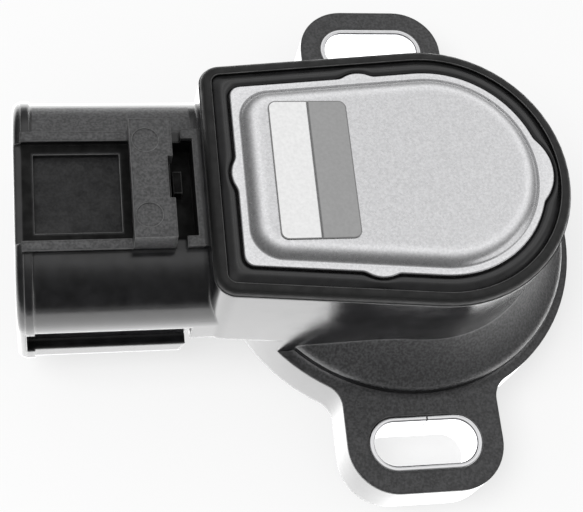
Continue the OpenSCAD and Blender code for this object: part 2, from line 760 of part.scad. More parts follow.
// One wiper: a bent spring strip from the carrier up to its track
module wiper(r) {
    rotate([0, 0, rest_angle]) translate([r + track_w / 4, 0, 0]) rotate([90, 0, -90])
        linear_extrude(track_w / 2) polygon([[-finger_back, finger_z], [0, finger_z],
            [finger_run, finger_top - finger_t], [finger_run + contact_l, finger_top - finger_t],
            [finger_run + contact_l, finger_top], [finger_run - finger_t, finger_top],
            [-finger_t, finger_z + finger_t], [-finger_back, finger_z + finger_t]]);
}
module wiper_outer() color("#d0b36a") wiper(track_outer_r);
module wiper_inner() color("#d0b36a") wiper(track_inner_r);

// Angle on the coil, and place on it, at a share of its length
function coil_angle(t) = rest_angle + 360 * coil_turns * t;
function coil_point(t) = let(a = coil_angle(t))
    [coil_r * cos(a), coil_r * sin(a), coil_z + coil_rise * t];
// Ring of points round the wire at a share of its length
function coil_ring(t) = let(a = coil_angle(t), c = coil_point(t))
    [for (j = [0:coil_sides - 1]) let(b = 360 * j / coil_sides)
        [c.x + wire_r * cos(b) * cos(a), c.y + wire_r * cos(b) * sin(a), c.z + wire_r * sin(b)]];

// Torsion spring that turns the rotor back, one end in the floor and one in the disc
module return_spring() color("#8f9194") {
    n = ceil(coil_turns * coil_steps);
    points = [for (i = [0:n]) each coil_ring(i / n)];
    sides = [for (i = [0:n - 1], j = [0:coil_sides - 1]) let(k = (j + 1) % coil_sides)
        [i * coil_sides + j, i * coil_sides + k, (i + 1) * coil_sides + k, (i + 1) * coil_sides + j]];
    first = [for (j = [coil_sides - 1:-1:0]) j];
    last = [for (j = [0:coil_sides - 1]) n * coil_sides + j];
    polyhedron(points, concat(sides, [first, last]));
    translate(coil_point(tang_share)) translate([0, 0, -tang_l]) cylinder(r = wire_r, h = tang_l);
    translate(coil_point(1 - tang_share)) cylinder(r = wire_r, h = tang_l);
}

// Flanged bush pressed in the boss of the rotor well
module rotor_bush() color("#9a7b3f") difference() {
    union() {
        translate([0, 0, bearing_z])
            cylinder(r = bearing_r, h = boss_top - bearing_z + bearing_flange_t / 2);
        translate([0, 0, boss_top]) cylinder(r = bearing_flange_r, h = bearing_flange_t);
    }
    cylinder(r = shaft_r + shaft_gap, h = board_z);
}

// Flat seal between the shaft and the housing
module shaft_seal() color("#2a2a2a") translate([0, 0, shaft_seal_z]) difference() {
    cylinder(r = seal_seat_r, h = shaft_seal_h);
    translate([0, 0, -cut]) cylinder(r = shaft_r + shaft_gap, h = shaft_seal_h + 2 * cut);
}

// Washer between the retaining ring and the seal
module thrust_washer() color("#b9bbbd") translate([0, 0, washer_z]) difference() {
    cylinder(r = seal_seat_r - washer_inset, h = washer_t);
    translate([0, 0, -cut]) cylinder(r = shaft_r + shaft_gap, h = washer_t + 2 * cut);
}

// Open ring that snaps into the shaft's groove
module retaining_ring() color("#6f7174") translate([0, 0, ring_z]) linear_extrude(ring_t) difference() {
    circle(r = shaft_r + ring_out);
    circle(r = shaft_r - ring_groove_d + press_gap);
    translate([0, -ring_gap_w / 2]) square([shaft_r + 2 * ring_out, ring_gap_w]);
}

// Ring seal in the mounting face
module face_seal() color("#232323") translate([0, 0, seal_d / 2 - seal_proud]) rotate_extrude()
    translate([seal_r, 0]) circle(r = seal_d / 2);

housing();
slot_bush_lower();
slot_bush_upper();
cover();
cover_sealant();
label();
terminal_1();
terminal_2();
terminal_3();
terminal_4();
resistor_board();
resistor_tracks();
solder_joints();
rotor();
drive_insert();
wiper_carrier();
wiper_outer();
wiper_inner();
return_spring();
rotor_bush();
shaft_seal();
thrust_washer();
retaining_ring();
face_seal();
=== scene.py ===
import math

import bpy
from mathutils import Euler, Matrix, Vector


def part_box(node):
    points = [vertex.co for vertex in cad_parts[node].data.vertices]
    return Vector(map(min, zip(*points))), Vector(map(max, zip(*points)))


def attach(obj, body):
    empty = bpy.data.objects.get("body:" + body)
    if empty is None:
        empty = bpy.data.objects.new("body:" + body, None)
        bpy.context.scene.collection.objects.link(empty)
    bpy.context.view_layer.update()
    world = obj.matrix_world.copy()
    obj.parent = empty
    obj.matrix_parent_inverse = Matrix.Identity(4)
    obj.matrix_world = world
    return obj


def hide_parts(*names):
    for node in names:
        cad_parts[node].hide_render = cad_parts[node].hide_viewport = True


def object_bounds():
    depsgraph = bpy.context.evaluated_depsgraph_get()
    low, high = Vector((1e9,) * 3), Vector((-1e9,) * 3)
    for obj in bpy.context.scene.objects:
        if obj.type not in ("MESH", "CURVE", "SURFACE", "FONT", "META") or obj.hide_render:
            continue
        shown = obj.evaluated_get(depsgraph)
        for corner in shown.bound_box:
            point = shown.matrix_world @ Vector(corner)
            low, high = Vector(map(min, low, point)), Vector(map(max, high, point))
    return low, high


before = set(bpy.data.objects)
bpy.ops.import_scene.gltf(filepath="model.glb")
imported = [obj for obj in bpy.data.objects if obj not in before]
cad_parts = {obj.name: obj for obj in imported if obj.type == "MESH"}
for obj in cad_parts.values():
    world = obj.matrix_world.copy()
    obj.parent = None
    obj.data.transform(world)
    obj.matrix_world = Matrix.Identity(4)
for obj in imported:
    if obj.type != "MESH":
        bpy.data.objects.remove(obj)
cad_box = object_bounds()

MM = 0.001
BODY = "sensor_body"
WHITE = (1.0, 1.0, 1.0, 1.0)

# Camera, at the photograph's viewing angle; the offset is in millimetres
IMAGE_W = 583
FOCAL_PX = 1309.25
SENSOR_MM = 36.0
CAMERA_TURN = (-0.4008, 0.1909, 0.0271)
CAMERA_OFFSET = (12.265, 0.1310, -171.9314)
CAMERA_CLIP = (0.01, 20)

# Floor and world, in metres and as shares of white
FLOOR_SIZE = 3.0
FLOOR_GREY = 0.85
FLOOR_GLOW = 0.7
AMBIENT = 0.55

# Lamps: a light table under the object, and a key lamp above it
TABLE_SIZE = 0.24
TABLE_LIGHT = 2.9
TABLE_GAP = 0.05 * MM
KEY_POWER = 5.0
KEY_PLACE = (-0.42, -0.1, 0.75)
KEY_AIM = (0, 0, 0.01)
KEY_SIZE = (0.5, 0.5)

# Tent of card, in metres and degrees; its tones are brightness by degrees from its middle
CARD_RADIUS = 1.3
CARD_LOW = 3.0
CARD_MIDDLE = (0.265, 0.433, 0.862)
CARD_STRENGTH = 1.5
CARD_TONES = ((0, 0.6), (9, 0.63), (15, 0.9), (21, 1.0), (28, 0.85),
              (38, 0.48), (50, 0.27), (64, 0.17), (90, 0.12))
CARD_SIDES, CARD_ROWS = 96, 40
SIDE_CARD_AT = 1.0
SIDE_CARD_AZIMUTH = (-55, -5)
SIDE_CARD_UP = (3, 25)
SIDE_CARD_LIGHT = 1.2

# Sizes of the CAD model that the new pieces follow, in millimetres
TOWER_R, TOWER_X, SIDE_FLARE, END_REACH = 16.3, 0.5, 4.8, 26.1
RIM_WALL, RIM_CORNER_R, GROOVE_W = 1.4, 2.5, 1.9
COVER_INSET = RIM_WALL + GROOVE_W
COVER_T, COVER_CORNER_R = 0.8, 1.2
LIP_W, FIELD_CORNER_R = 1.3, 3.4
BUMP_OUT, BUMP_R, BUMP_INSET = 0.6, 3.3, 18.7
END_BUMP_OUT, END_BUMP_R = 1.1, 5.5
LABEL_W, LABEL_L, LABEL_CORNER_R, LABEL_INSET = 9.1, 17.2, 0.9, 7.4
SLOT_L, SLOT_W, BUSH_T, BUSH_SEAM_X, BUSH_SEAM = 12.6, 5.3, 0.7, 0.4, 0.15
SLOT_PITCH = 27.1

# Regions of the housing that have a surface of their own, in millimetres; in the latch channel that
# surface holds painted shade
MASK_SOFT = 0.1
TOWER_SPAN = (-27.0, 40.0)
FOOT_Z, RIM_Z, BRIDGE_Z = (-10.0, 15.0), (23.3, 40.0), (20.9, 40.0)
STRIP_X, STRIP_Y = (-45.0, -27.0), (7.4, 11.5)
PANEL_X, PANEL_Y, PANEL_Z = (-45.2, -35.2), (-5.1, 5.1), (10.0, 21.0)
LATCH_X, LATCH_Y, LATCH_Z = (-46.3, -26.5), (-6.6, 6.6), (10.0, 20.3)

# Colour and roughness of those regions, with painted shade as a darker black in the latch channel,
# and the grey of the painted highlight on outer edges with its width
HOUSING_IOR = 1.46
GLOSS_BLACK, GLOSS_ROUGH = (0.006, 0.006, 0.0065), 0.18
GRAIN_BLACK, GRAIN_ROUGH = (0.03, 0.03, 0.031), 0.42
# A darker black: painted shade in the latch channel, and the rim's own colour
SHADE_AND_RIM_BLACK, DEEP_ROUGH = (0.002, 0.002, 0.002), 0.85
PANEL_BLACK, PANEL_ROUGH = (0.009, 0.009, 0.0095), 0.6
RIM_ROUGH = 0.55
BRIDGE_BLACK, BRIDGE_ROUGH = (0.045, 0.045, 0.046), 0.4
# Painted highlight: a grey laid along the outer edges of the housing, and the width of that band
EDGE_HIGHLIGHT_GREY, HIGHLIGHT_EDGE_WIDTH = (0.18, 0.18, 0.18), 0.22

# Noise on the housing, as features per metre and detail
SKIN_NOISE, GRAIN_NOISE = (3600, 3), (3400, 3)
TONE_NOISE, SHINE_NOISE = (500, 5), (700, 3)
SKIN_BUMP, SKIN_DEPTH = 0.25, 0.015
GRAIN_BUMP, GRAIN_DEPTH = 0.9, 0.05

# Kinds of surface. Each noise is features per metre and detail. The edge radius and the bump's
# depth are in millimetres. Spread is the range of the roughness, as shares of its value; shades
# are the same for the colour, at two places on its noise.
MOULDING_EDGE = 0.5
ROUGH_PLACES = (0.3, 0.7)
KINDS = {
    "moulding": dict(metallic=0.0, edge=MOULDING_EDGE, noise=(2600, 2), strength=0.2, depth=0.015,
                     rough_noise=(700, 3), spread=(0.85, 1.2),
                     color_noise=(500, 5), places=(0.35, 0.7), shades=(0.8, 1.3)),
    "metal": dict(metallic=1.0, edge=0.1, noise=(3000, 3), strength=0.2, depth=0.01,
                  rough_noise=(900, 4), spread=(0.8, 1.3),
                  color_noise=(900, 4), places=(0.3, 0.7), shades=(0.92, 1.0)),
    "pressed_sheet": dict(metallic=1.0, edge=0.0, noise=(5200, 2), strength=0.14, depth=0.01,
                          rough_noise=(2200, 3), spread=(0.9, 1.15),
                          color_noise=(3600, 3), places=(0.32, 0.68), shades=(0.86, 1.05)),
    "soft": dict(metallic=0.0, edge=0.0, noise=(1500, 4), strength=0.3, depth=0.02,
                 rough_noise=(500, 4), spread=(0.8, 1.25),
                 color_noise=(900, 5), places=(0.3, 0.7), shades=(0.8, 1.15)),
    "film": dict(metallic=0.0, edge=0.0, noise=(3400, 3), strength=0.15, depth=0.01,
                 rough_noise=(1200, 3), spread=(0.85, 1.15),
                 color_noise=(2600, 4), places=(0.3, 0.7), shades=(0.93, 1.04)),
}
EDGE_SAMPLES = 6


# Materials
def shade(color, factor):
    return tuple(c * factor for c in color)


def fill_ramp(ramp, stops):
    """Sets the stops of a colour ramp: (position, grey or colour), in rising order."""
    elements = ramp.color_ramp.elements
    while len(elements) > 1:
        elements.remove(elements[-1])
    for i, (at, tone) in enumerate(stops):
        element = elements[0] if i == 0 else elements.new(at)
        element.position = at
        color = tone if isinstance(tone, tuple) else (tone, tone, tone)
        element.color = (*color, 1.0)


class Finish:
    """A Principled material with a chain of bumps and a few noise driven variations."""

    def __init__(self, name, color, rough, metallic=0.0, ior=1.5):
        self.mat = bpy.data.materials.new(name)
        self.mat.use_nodes = True
        tree = self.mat.node_tree
        self.nodes, self.links = tree.nodes, tree.links
        self.bsdf = self.nodes["Principled BSDF"]
        for socket, value in (("Base Color", (*color, 1.0)), ("Roughness", rough),
                              ("Metallic", metallic), ("IOR", ior)):
            self.bsdf.inputs[socket].default_value = value
        self.normal = None
        self.place = self.nodes.new("ShaderNodeTexCoord").outputs["Object"]

    def noise(self, scale, detail):
        """Noise over the object's own place; scale is features per metre."""
        mapping = self.nodes.new("ShaderNodeMapping")
        mapping.inputs["Scale"].default_value = [scale] * 3
        texture = self.nodes.new("ShaderNodeTexNoise")
        texture.inputs["Scale"].default_value = 1.0
        texture.inputs["Detail"].default_value = detail
        self.links.new(self.place, mapping.inputs["Vector"])
        self.links.new(mapping.outputs["Vector"], texture.inputs["Vector"])
        return texture.outputs["Fac"]

    def ramp(self, value, stops):
        ramp = self.nodes.new("ShaderNodeValToRGB")
        fill_ramp(ramp, stops)
        self.links.new(value, ramp.inputs["Fac"])
        return ramp.outputs["Color"]

    def bevel(self, radius):
        bevel = self.nodes.new("ShaderNodeBevel")
        bevel.samples = EDGE_SAMPLES
        bevel.inputs["Radius"].default_value = radius
        return bevel.outputs["Normal"]

    def use_normal(self, normal):
        self.normal = normal
        self.links.new(normal, self.bsdf.inputs["Normal"])

    def round_edges(self, radius):
        self.use_normal(self.bevel(radius))

    def bump(self, value, strength, distance):
        bump = self.nodes.new("ShaderNodeBump")
        bump.inputs["Strength"].default_value = strength
        bump.inputs["Distance"].default_value = distance
        self.links.new(value, bump.inputs["Height"])
        if self.normal is not None:
            self.links.new(self.normal, bump.inputs["Normal"])
        self.use_normal(bump.outputs["Normal"])

    def times(self, a, b):
        """Product of two values, or the second where there is no first yet."""
        if a is None:
            return b
        product = self.nodes.new("ShaderNodeMath")
        product.operation = "MULTIPLY"
        self.links.new(a, product.inputs[0])
        self.links.new(b, product.inputs[1])
        return product.outputs[0]

    def band(self, axis, low, high):
        """1 where a coordinate lies between two places in millimetres, 0 elsewhere."""
        split = self.nodes.new("ShaderNodeSeparateXYZ")
        self.links.new(self.place, split.inputs[0])
        result = None
        for edge, start, end in ((low, 0, 1), (high, 1, 0)):
            step = self.nodes.new("ShaderNodeMapRange")
            step.inputs["From Min"].default_value = (edge - MASK_SOFT) * MM
            step.inputs["From Max"].default_value = (edge + MASK_SOFT) * MM
            step.inputs["To Min"].default_value = start
            step.inputs["To Max"].default_value = end
            self.links.new(split.outputs[axis], step.inputs["Value"])
            result = self.times(result, step.outputs["Result"])
        return result

    def block(self, **bands):
        """Mask of a box, with the two limits of each axis that bounds it."""
        mask = None
        for axis, (low, high) in bands.items():
            mask = self.times(mask, self.band(axis, low, high))
        return mask

    def facing_up(self):
        """1 on surfaces that look upwards, 0 on walls and below."""
        shape = self.nodes.new("ShaderNodeNewGeometry")
        split = self.nodes.new("ShaderNodeSeparateXYZ")
        self.links.new(shape.outputs["Normal"], split.inputs[0])
        return self.ramp(split.outputs["Z"], [(0.12, 0.0), (0.3, 1.0)])

    def outer_edges(self, radius):
        """1 along the outer edges of a moulding, where a painted highlight is laid; 0 on faces, in
        corners.
        """
        shape = self.nodes.new("ShaderNodeNewGeometry")
        meet = self.nodes.new("ShaderNodeVectorMath")
        meet.operation = "DOT_PRODUCT"
        self.links.new(self.bevel(radius), meet.inputs[0])
        self.links.new(shape.outputs["Normal"], meet.inputs[1])
        edge = self.ramp(meet.outputs["Value"], [(0.86, 1.0), (0.985, 0.0)])
        open_air = self.nodes.new("ShaderNodeAmbientOcclusion")
        open_air.only_local = True
        open_air.samples = EDGE_SAMPLES
        open_air.inputs["Distance"].default_value = 2 * radius
        return self.times(edge, self.ramp(open_air.outputs["AO"], [(0.7, 0.0), (0.9, 1.0)]))

    def over(self, mask, below, above):
        """One colour or value over another where the mask is 1."""
        mix = self.nodes.new("ShaderNodeMixRGB")
        for i, value in enumerate((mask, below, above)):
            self.links.new(value, mix.inputs[i])
        return mix.outputs[0]

    def vary_rough(self, value, rough, spread):
        """A value's ramp between two shares of a roughness."""
        return self.ramp(value, [(at, rough * share) for at, share in zip(ROUGH_PLACES, spread)])

    def vary_color(self, value, color, places, shades):
        """A value's ramp between two shades of a colour."""
        return self.ramp(value, [(at, shade(color, share)) for at, share in zip(places, shades)])

    def dress(self, color, rough):
        self.links.new(color, self.bsdf.inputs["Base Color"])
        self.links.new(rough, self.bsdf.inputs["Roughness"])
        return self.mat


def surface(name, kind, color, rough):
    """A material of one of the kinds above."""
    k = KINDS[kind]
    finish = Finish(name, color, rough, metallic=k["metallic"])
    if k["edge"]:
        finish.round_edges(k["edge"] * MM)
    finish.bump(finish.noise(*k["noise"]), k["strength"], k["depth"] * MM)
    roughs = finish.vary_rough(finish.noise(*k["rough_noise"]), rough, k["spread"])
    colors = finish.vary_color(finish.noise(*k["color_noise"]), color, k["places"], k["shades"])
    return finish.dress(colors, roughs)


def housing_moulding():
    """Glossy moulding with grained, sunk and matt regions, painted shade in its latch channel, and a
    painted highlight along its outer edges.
    """
    finish = Finish("black_moulding", GLOSS_BLACK, GLOSS_ROUGH, ior=HOUSING_IOR)
    finish.round_edges(MOULDING_EDGE * MM)
    finish.bump(finish.noise(*SKIN_NOISE), SKIN_BUMP, SKIN_DEPTH * MM)
    foot = finish.times(finish.block(X=TOWER_SPAN, Z=FOOT_Z), finish.facing_up())
    panel = finish.block(X=PANEL_X, Y=PANEL_Y, Z=PANEL_Z)
    for grained in (foot, panel):
        height = finish.times(grained, finish.noise(*GRAIN_NOISE))
        finish.bump(height, GRAIN_BUMP, GRAIN_DEPTH * MM)
    tone = finish.noise(*TONE_NOISE)
    grain = finish.noise(*GRAIN_NOISE)
    shine = finish.noise(*SHINE_NOISE)

    def skin(value, color, rough):
        return (finish.vary_color(value, color, (0.38, 0.64), (0.6, 1.5)),
                finish.vary_rough(shine, rough, (0.85, 1.2)))

    # The latch channel's darker black is painted shade
    latch = finish.block(X=LATCH_X, Y=LATCH_Y, Z=LATCH_Z)
    rim = finish.block(X=TOWER_SPAN, Z=RIM_Z)
    bridge = finish.block(X=LATCH_X, Z=BRIDGE_Z)
    strip = finish.times(finish.block(X=STRIP_X, Y=STRIP_Y), finish.facing_up())
    bridge_skin = skin(grain, BRIDGE_BLACK, BRIDGE_ROUGH)
    color, rough = skin(tone, GLOSS_BLACK, GLOSS_ROUGH)
    for mask, (its_color, its_rough) in (
            (foot, skin(grain, GRAIN_BLACK, GRAIN_ROUGH)),
            (latch, skin(tone, SHADE_AND_RIM_BLACK, DEEP_ROUGH)),
            (panel, skin(grain, PANEL_BLACK, PANEL_ROUGH)),
            (rim, skin(grain, SHADE_AND_RIM_BLACK, RIM_ROUGH)),
            (bridge, bridge_skin), (strip, bridge_skin)):
        color = finish.over(mask, color, its_color)
        rough = finish.over(mask, rough, its_rough)
    # Painted highlight: a lighter grey over the outer edges
    painted_highlight = finish.vary_color(tone, EDGE_HIGHLIGHT_GREY, (0.35, 0.68), (0.6, 1.0))
    return finish.dress(finish.over(finish.outer_edges(HIGHLIGHT_EDGE_WIDTH * MM), color, painted_highlight), rough)


BLACK = housing_moulding()
STEEL = surface("bush_steel", "metal", (0.62, 0.62, 0.63), 0.2)
COVER = surface("cover_metal", "pressed_sheet", (0.62, 0.62, 0.63), 0.28)
SEALANT = surface("sealant", "soft", (0.012, 0.012, 0.0125), 0.3)
FILM_LIGHT = surface("label_light", "film", (0.72, 0.72, 0.72), 0.45)
FILM_DARK = surface("label_dark", "film", (0.27, 0.27, 0.27), 0.45)
FILM_EDGE = surface("label_edge", "film", (0.16, 0.16, 0.16), 0.5)
TERMINAL = surface("terminal_metal", "metal", (0.66, 0.64, 0.58), 0.3)
CERAMIC = surface("board_ceramic", "soft", (0.78, 0.76, 0.7), 0.7)
INK = surface("track_ink", "soft", (0.02, 0.02, 0.02), 0.5)
SOLDER = surface("solder", "metal", (0.6, 0.6, 0.62), 0.25)
ROTOR = surface("rotor_moulding", "moulding", (0.05, 0.045, 0.04), 0.45)
BRASS = surface("insert_brass", "metal", (0.6, 0.48, 0.26), 0.3)
WIPER = surface("wiper_metal", "metal", (0.72, 0.6, 0.34), 0.25)
SPRING = surface("spring_steel", "metal", (0.4, 0.4, 0.42), 0.3)
BRONZE = surface("bearing_brass", "metal", (0.45, 0.33, 0.17), 0.45)
RUBBER = surface("seal_rubber", "soft", (0.015, 0.015, 0.015), 0.6)
WASHER = surface("washer_steel", "metal", (0.6, 0.6, 0.62), 0.3)

for node, mat in {
    "housing": BLACK, "slot_bush_lower": STEEL, "slot_bush_upper": STEEL, "cover": COVER,
    "cover_sealant": SEALANT, "label": FILM_LIGHT, "terminal_1": TERMINAL, "terminal_2": TERMINAL,
    "terminal_3": TERMINAL, "terminal_4": TERMINAL, "resistor_board": CERAMIC,
    "resistor_tracks": INK, "solder_joints": SOLDER, "rotor": ROTOR, "drive_insert": BRASS,
    "wiper_carrier": WIPER, "wiper_outer": WIPER, "wiper_inner": WIPER, "return_spring": SPRING,
    "rotor_bush": BRONZE, "shaft_seal": RUBBER, "thrust_washer": WASHER,
    "retaining_ring": SPRING, "face_seal": RUBBER,
}.items():
    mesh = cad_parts[node].data
    mesh.materials.clear()
    mesh.materials.append(mat)


# Meshes built from rings of points
def add_mesh(name, points, faces, mats, indices=None, sharp=35):
    mesh = bpy.data.meshes.new(name)
    mesh.from_pydata([Vector(p) * MM for p in points], [], faces)
    for mat in mats:
        mesh.materials.append(mat)
    if indices:
        mesh.polygons.foreach_set("material_index", indices)
    mesh.update()
    mesh.shade_smooth()
    mesh.set_sharp_from_angle(angle=math.radians(sharp))
    obj = bpy.data.objects.new(name, mesh)
    bpy.context.scene.collection.objects.link(obj)
    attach(obj, BODY)
    return obj


def loft(rings, close_loft=False):
    """Points and faces of a skin over closed rings with equal numbers of points."""
    n = len(rings[0])
    points = [p for ring in rings for p in ring]
    faces = []
    for i in range(len(rings) if close_loft else len(rings) - 1):
        k = (i + 1) % len(rings)
        for j in range(n):
            m = (j + 1) % n
            faces.append((i * n + j, i * n + m, k * n + m, k * n + j))
    if not close_loft:
        faces.append(tuple(range(n))[::-1])
        faces.append(tuple((len(rings) - 1) * n + j for j in range(n)))
    return points, faces


# Outlines in the plane, as the distance from a middle point in each direction
MIDDLE_X = -5.0
OUTLINE_STEPS = 480
TRIAL_STEPS = 4000
FLARE = math.radians(90 + SIDE_FLARE)
SIDE_NX, SIDE_NY = math.cos(FLARE), math.sin(FLARE)


def circle_exit(cx, cy, r, dx, dy):
    """Far crossing of a ray from the middle point with a circle, or 0."""
    ox, oy = MIDDLE_X - cx, -cy
    b = ox * dx + oy * dy
    disc = b * b - (ox * ox + oy * oy - r * r)
    return -b + math.sqrt(disc) if disc > 0 else 0.0


def half_at(inset, x):
    """Half the width of the tower's outline between its flared sides."""
    return (TOWER_R - inset - SIDE_NX * (x - TOWER_X)) / SIDE_NY


def corner_at(inset, r):
    """Middle of the rounded corner at the tower's flat end."""
    x = -END_REACH + inset + r
    return x, half_at(inset + r, x)


def tower_exit(inset, corner_r, dx, dy):
    """Distance from the middle point to the tower's outline, set in all round."""
    cx, cy = corner_at(inset, corner_r)
    reach = max(circle_exit(TOWER_X, 0, TOWER_R - inset, dx, dy),
                circle_exit(cx, cy, corner_r, dx, dy), circle_exit(cx, -cy, corner_r, dx, dy))
    if dx < 0:
        t = (MIDDLE_X + END_REACH - inset) / -dx
        if abs(t * dy) <= cy:
            reach = max(reach, t)
    side = SIDE_NX * dx + SIDE_NY * abs(dy)
    if side > 0:
        t = (TOWER_R - inset - SIDE_NX * (MIDDLE_X - TOWER_X)) / side
        along = MIDDLE_X + t * dx
        foot = TOWER_X + (TOWER_R - inset) * SIDE_NX
        if cx + corner_r * SIDE_NX <= along <= foot:
            reach = max(reach, t)
    return reach


def bump_exit(gap, dx, dy):
    """Distance to the four locating bumps of the cover, grown by a gap."""
    x = -END_REACH + BUMP_INSET
    y = half_at(COVER_INSET, x) + BUMP_OUT - BUMP_R
    return max(
        circle_exit(x, y, BUMP_R + gap, dx, dy), circle_exit(x, -y, BUMP_R + gap, dx, dy),
        circle_exit(-END_REACH + COVER_INSET - BUMP_OUT + BUMP_R, 0, BUMP_R + gap, dx, dy),
        circle_exit(TOWER_X + TOWER_R - COVER_INSET + END_BUMP_OUT - END_BUMP_R, 0,
                    END_BUMP_R + gap, dx, dy))


def directions():
    """Directions round the middle point, at even steps along the cover's edge."""
    trial = [2 * math.pi * i / TRIAL_STEPS for i in range(TRIAL_STEPS + 1)]
    places = []
    for a in trial:
        reach = tower_exit(COVER_INSET, COVER_CORNER_R, math.cos(a), math.sin(a))
        places.append(Vector((reach * math.cos(a), reach * math.sin(a))))
    run = [0.0]
    for p, q in zip(places, places[1:]):
        run.append(run[-1] + (q - p).length)
    result, k = [], 0
    for i in range(OUTLINE_STEPS):
        want = run[-1] * i / OUTLINE_STEPS
        while run[k + 1] < want:
            k += 1
        share = (want - run[k]) / (run[k + 1] - run[k])
        a = trial[k] + share * (trial[k + 1] - trial[k])
        result.append((math.cos(a), math.sin(a)))
    return result


DIRECTIONS = directions()


def outline(inset, corner_r, gap=None):
    """Distances to the inset tower outline; with a gap, the cover's bumps are added."""
    reach = []
    for dx, dy in DIRECTIONS:
        r = tower_exit(inset, corner_r, dx, dy)
        reach.append(r if gap is None else max(r, bump_exit(gap, dx, dy)))
    return reach


def smooth(reach, passes):
    """Rounds the sharp inner corners of an outline a little."""
    n = len(reach)
    for _ in range(passes):
        reach = [(reach[i - 1] + 2 * reach[i] + reach[(i + 1) % n]) / 4 for i in range(n)]
    return reach


def ring_at(reach, z):
    return [(MIDDLE_X + r * dx, r * dy, z) for r, (dx, dy) in zip(reach, DIRECTIONS)]


def lesser(reach, amount):
    return [r - amount for r in reach]


def zone(node):
    """Lowest and highest place of a CAD part, in millimetres."""
    low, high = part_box(node)
    return low[2] / MM, high[2] / MM


# The cover: a pressed sheet with a rounded lip, a soft foot and a softly crowned field
FOOT_EDGE, LIP_EDGE, LIP_STEPS = 0.1, 0.22, 4
FIELD_FOOT, FIELD_EDGE_W, FIELD_STEPS = 0.6, 3.0, 30
FIELD_STEEP_AT, FIELD_EASE, FIELD_MIN_R = 0.14, 2.2, 0.6
CROWN, CROWN_R, CROWN_SHARES = 0.04, 0.9, (0.8, 0.6, 0.4, 0.2, 0.05)
UNDER_WALL, UNDER_EASE = 0.3, 1.6
STEEPEST_RANGE, HALVINGS = (0.1, 1.4), 40
COVER_SHARP = 50


def field_slopes(rise):
    """Slopes and widths across the field's edge, which rises in a soft S to the given height."""
    def slopes(steepest):
        for i in range(FIELD_STEPS):
            t = (i + 0.5) / FIELD_STEPS
            far = (1 - t) / (1 - FIELD_STEEP_AT)
            share = t / FIELD_STEEP_AT if t < FIELD_STEEP_AT else far ** FIELD_EASE
            yield steepest * share, FIELD_EDGE_W / FIELD_STEPS

    low, high = STEEPEST_RANGE
    for _ in range(HALVINGS):
        middle = (low + high) / 2
        height = sum(width * math.tan(slope) for slope, width in slopes(middle))
        low, high = (middle, high) if height < rise else (low, middle)
    return list(slopes(low))


def make_cover():
    foot_z, field_z = zone("cover")
    lip_z = foot_z + COVER_T
    edge = smooth(outline(COVER_INSET, COVER_CORNER_R, 0.0), 2)
    rings = [ring_at(lesser(edge, FOOT_EDGE), foot_z), ring_at(edge, foot_z + FOOT_EDGE)]
    for step in range(LIP_STEPS + 1):
        a = math.radians(90 / LIP_STEPS * step)
        rings.append(ring_at(lesser(edge, LIP_EDGE * (1 - math.cos(a))),
                             lip_z - LIP_EDGE * (1 - math.sin(a))))
    field_inset = COVER_INSET + LIP_W

    def field(inset, z):
        corner_r = max(FIELD_MIN_R, FIELD_CORNER_R - (inset - field_inset))
        return ring_at(outline(inset, corner_r), z)

    inset, z = field_inset - FIELD_FOOT, lip_z
    rings.append(field(inset, z))
    for slope, width in field_slopes(field_z - CROWN - lip_z):
        inset += width
        z += width * math.tan(slope)
        rings.append(field(inset, z))
    last = outline(inset, CROWN_R)
    for share in CROWN_SHARES:
        rings.append(ring_at([r * share for r in last], field_z - CROWN * share * share))

    inner = outline(field_inset + COVER_T, FIELD_CORNER_R - COVER_T)
    wall_z = foot_z + UNDER_WALL
    under = [ring_at(inner, foot_z), ring_at(inner, wall_z)]
    for a in map(math.radians, (30, 60, 90)):
        under.append(ring_at(lesser(inner, UNDER_EASE * math.sin(a)),
                             wall_z + (field_z - COVER_T - wall_z) * (1 - math.cos(a))))
    points, faces = loft(under[::-1] + rings)
    cover = add_mesh("cover_pressing", points, faces, [COVER], sharp=COVER_SHARP)
    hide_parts("cover")


# The sealant: a bead whose section is given as shares of the groove's width and height
SEALANT_GAP = 0.15
SEALANT_SECTION = ((0, 0), (0, 0.5), (0.06, 0.7), (0.16, 0.88), (0.27, 0.97), (0.36, 1.0),
                   (0.45, 0.98), (0.58, 0.88), (0.72, 0.7), (0.86, 0.5), (1, 0.34), (1, 0))


def make_sealant():
    foot_z, top_z = zone("cover_sealant")
    outer_inset = RIM_WALL + SEALANT_GAP
    outer = outline(outer_inset, RIM_CORNER_R - outer_inset)
    inner = smooth(outline(COVER_INSET - SEALANT_GAP, COVER_CORNER_R + SEALANT_GAP, SEALANT_GAP), 4)
    rings = []
    for share, lift in SEALANT_SECTION:
        reach = [i + (o - i) * share for i, o in zip(inner, outer)]
        rings.append(ring_at(reach, foot_z + (top_z - foot_z) * lift))
    points, faces = loft(rings, close_loft=True)
    bead = add_mesh("sealant_bead", points, [f[::-1] for f in faces], [SEALANT])
    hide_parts("cover_sealant")


# The label: two plain fields of film, each with a thin dark edge
LABEL_SPLIT = 4.6
FILM_LINE, FILM_GAP, FILM_SOFT = 0.13, 0.02, 0.02
FILM_TIGHT_R, FILM_LEAST_R = 0.06, 0.03
CORNER_STEPS = 6


def rounded_rectangle(x0, x1, half_y, inset, radii):
    """Outline of a rectangle, set in all round, whose corners have their own radii."""
    points = []
    left, right, low, high = x0 + inset, x1 - inset, -half_y + inset, half_y - inset
    corners = ((right, low, -90), (right, high, 0), (left, high, 90), (left, low, 180))
    for (x, y, start), r in zip(corners, radii):
        cx = x - r if x == right else x + r
        cy = y - r if y == high else y + r
        for step in range(CORNER_STEPS + 1):
            a = math.radians(start + 90 / CORNER_STEPS * step)
            points.append((cx + r * math.cos(a), cy + r * math.sin(a)))
    return points


